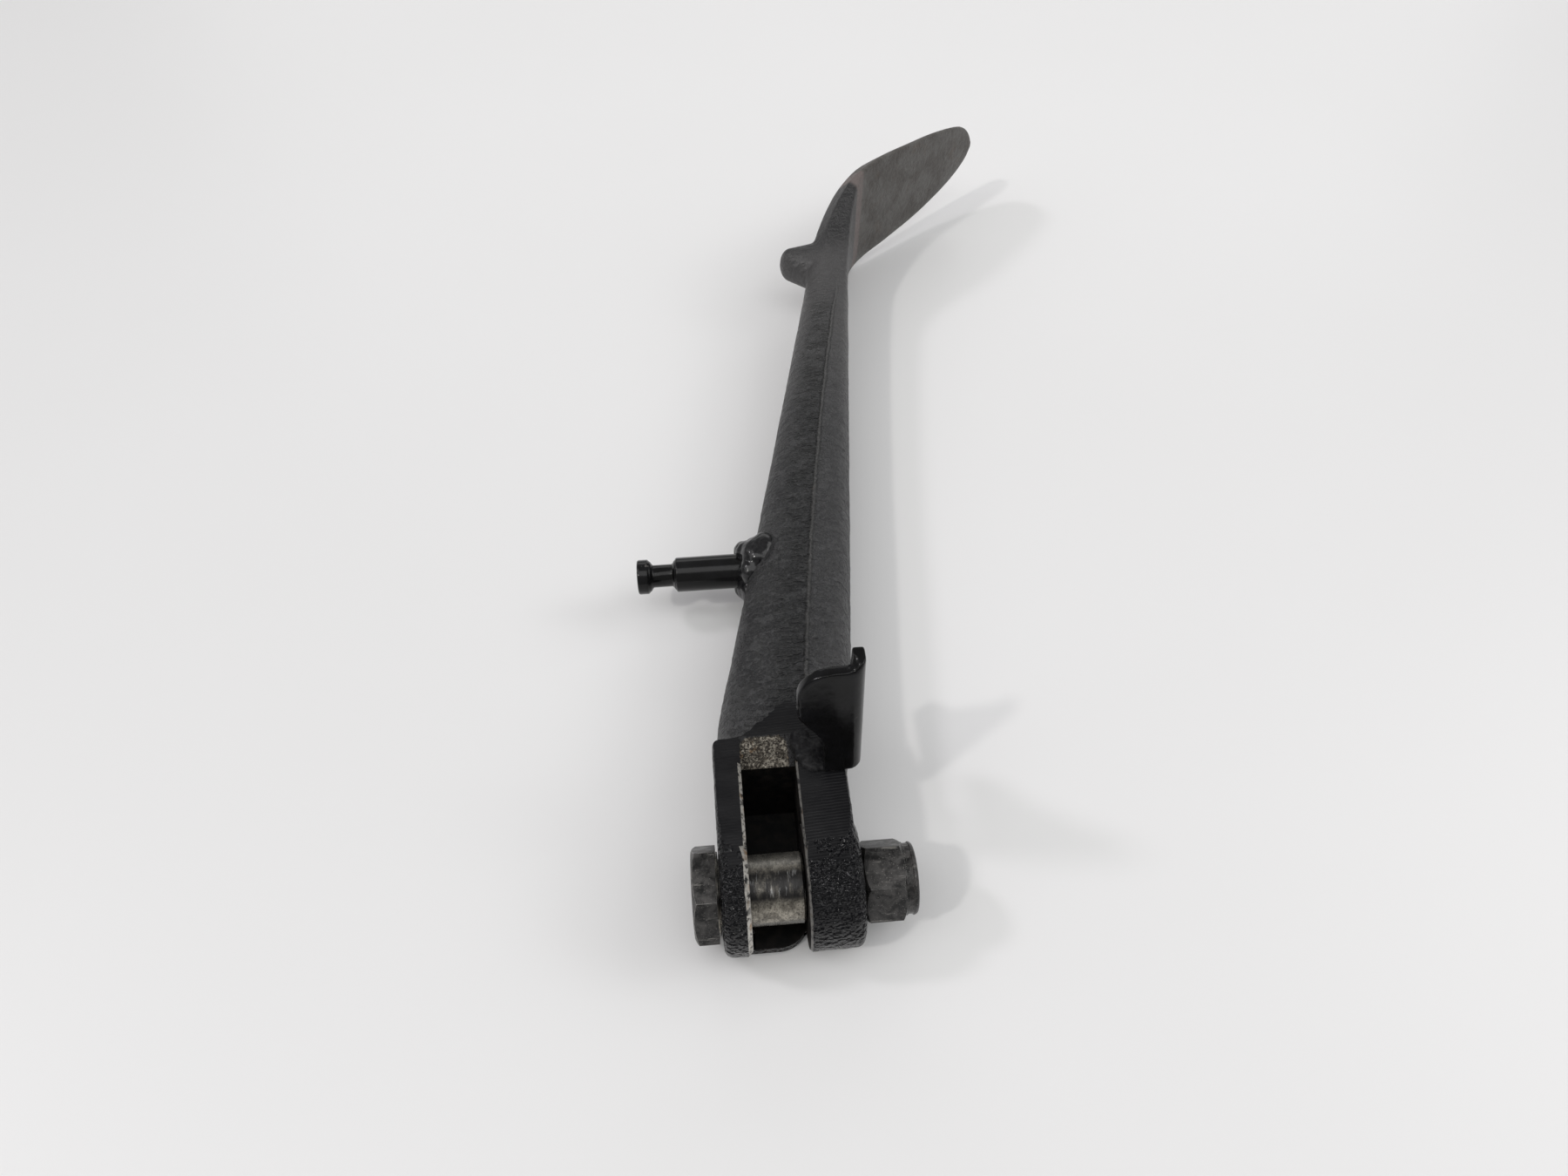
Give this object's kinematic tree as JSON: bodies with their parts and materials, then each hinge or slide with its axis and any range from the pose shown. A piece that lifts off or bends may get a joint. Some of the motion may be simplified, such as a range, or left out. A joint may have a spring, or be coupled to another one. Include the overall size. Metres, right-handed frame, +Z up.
{
  "type": "motorcycle side stand",
  "caption": "Forged black side stand leg with a clevis, shoulder bolt and lock nut, a turned spring post, a folded stop bracket and a blade foot.",
  "frame": {"origin": "bottom centre of the whole object as it lies on its side, at its bounding box's middle in X and Y", "axes": "+X along the pivot bolt from its head to its nut, +Y along the leg from the clevis towards the foot, +Z up"},
  "size_m": [0.1086, 0.259, 0.0535],
  "materials": {
    "satin_black_paint": "satin",
    "post_gloss_black": "gloss",
    "weld_gloss_black": "gloss",
    "bracket_gloss_black": "gloss",
    "weld_satin_black": "satin",
    "bolt_dark_steel": "oiled dark oxide, bright worn edges",
    "nut_dark_steel": "oiled dark oxide",
    "nylon": "matte"
  },
  "bodies": {
    "pivot": {"pivot_bolt": "bolt_dark_steel", "pivot_nut": "nut_dark_steel", "nut_insert": "nylon"},
    "stand": {"stand_leg": "satin_black_paint", "spring_post": "post_gloss_black", "spring_post_weld": "weld_gloss_black", "stop_bracket": "bracket_gloss_black", "bracket_weld": "weld_satin_black"}
  },
  "joints": [
    {"name": "stand_swing", "type": "hinge", "parent": "pivot", "child": "stand", "pos_m": [-0.02841, -0.11749, 0.012], "axis": [1, 0, 0], "range_deg": [0, 100]}
  ]
}
